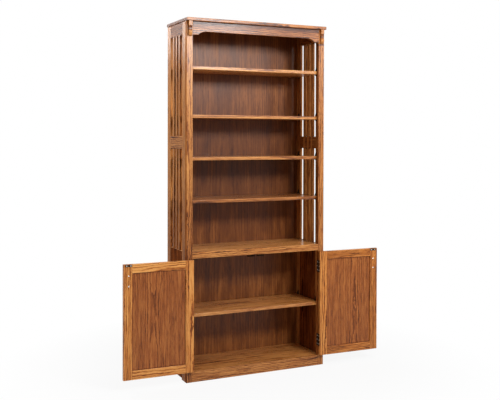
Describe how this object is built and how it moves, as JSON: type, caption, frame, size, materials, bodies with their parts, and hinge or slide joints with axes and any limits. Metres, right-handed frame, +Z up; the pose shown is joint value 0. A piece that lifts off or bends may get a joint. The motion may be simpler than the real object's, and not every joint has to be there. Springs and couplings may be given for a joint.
{
  "type": "bookcase with cabinet doors",
  "caption": "Tall oak bookcase with slatted sides, arched valance and corbels, clipped adjustable shelves, and a lower cabinet with panelled doors on butt hinges.",
  "frame": {"origin": "middle of the footprint's bounding box with the doors standing open, on the floor", "axes": "+Z up, -Y the open front with the doors, +X to the right as seen from the front"},
  "size_m": [1.69, 0.3686, 2.134],
  "materials": {
    "frame_oak": "oak, medium brown stain, satin lacquer, open grain",
    "side_oak": "oak, medium brown stain, satin lacquer, open grain",
    "shelf_oak": "oak boards, medium brown stain, satin lacquer, grain along the shelf",
    "back_oak": "oak veneered plywood, dark brown stain, low sheen, upright grain",
    "door_oak": "oak, medium brown stain, satin lacquer, open grain",
    "panel_oak": "oak veneered panel, medium brown stain, satin lacquer, upright grain",
    "dark_metal": "dark bronze plated steel, worn lighter on the edges",
    "bright_metal": "nickel plated steel",
    "catch_plastic": "dark brown moulded plastic"
  },
  "bodies": {
    "case": {"top_board": "frame_oak", "left_face_stile": "frame_oak", "right_face_stile": "frame_oak", "base_rail": "frame_oak", "middle_rail": "frame_oak", "valance": "frame_oak", "left_corbel": "frame_oak", "right_corbel": "frame_oak", "left_side_front_stile": "side_oak", "left_side_rear_stile": "side_oak", "left_side_top_rail": "side_oak", "left_side_middle_rail": "side_oak", "left_side_panel": "side_oak", "left_slat_1": "side_oak", "left_slat_2": "side_oak", "left_slat_3": "side_oak", "right_side_front_stile": "side_oak", "right_side_rear_stile": "side_oak", "right_side_top_rail": "side_oak", "right_side_middle_rail": "side_oak", "right_side_panel": "side_oak", "right_slat_1": "side_oak", "right_slat_2": "side_oak", "right_slat_3": "side_oak", "back_panel": "back_oak", "cabinet_floor": "shelf_oak", "fixed_shelf": "shelf_oak", "shelf_1": "shelf_oak", "shelf_2": "shelf_oak", "shelf_3": "shelf_oak", "shelf_4": "shelf_oak", "cabinet_shelf": "shelf_oak", "left_magnetic_catch": "catch_plastic", "right_magnetic_catch": "catch_plastic", "left_upper_hinge_frame_leaf": "dark_metal", "left_lower_hinge_frame_leaf": "dark_metal", "right_upper_hinge_frame_leaf": "dark_metal", "right_lower_hinge_frame_leaf": "dark_metal"},
    "left_door": {"left_door_hinge_stile": "door_oak", "left_door_free_stile": "door_oak", "left_door_top_rail": "door_oak", "left_door_bottom_rail": "door_oak", "left_door_panel": "panel_oak", "left_door_pull": "dark_metal", "left_pull_upper_screw": "bright_metal", "left_pull_lower_screw": "bright_metal", "left_strike": "dark_metal", "left_upper_hinge_door_leaf": "dark_metal", "left_lower_hinge_door_leaf": "dark_metal"},
    "right_door": {"right_door_hinge_stile": "door_oak", "right_door_free_stile": "door_oak", "right_door_top_rail": "door_oak", "right_door_bottom_rail": "door_oak", "right_door_panel": "panel_oak", "right_door_pull": "dark_metal", "right_pull_upper_screw": "bright_metal", "right_pull_lower_screw": "bright_metal", "right_strike": "dark_metal", "right_upper_hinge_door_leaf": "dark_metal", "right_lower_hinge_door_leaf": "dark_metal"}
  },
  "joints": [
    {"name": "left_door_hinge", "type": "hinge", "parent": "case", "child": "left_door", "pos_m": [-0.42272, -0.14897, 0.39425], "axis": [0, 0, -1], "range_deg": [-181, 7]},
    {"name": "right_door_hinge", "type": "hinge", "parent": "case", "child": "right_door", "pos_m": [0.42328, -0.14897, 0.39425], "axis": [0, 0, 1], "range_deg": [-178.5, 9.5]}
  ]
}
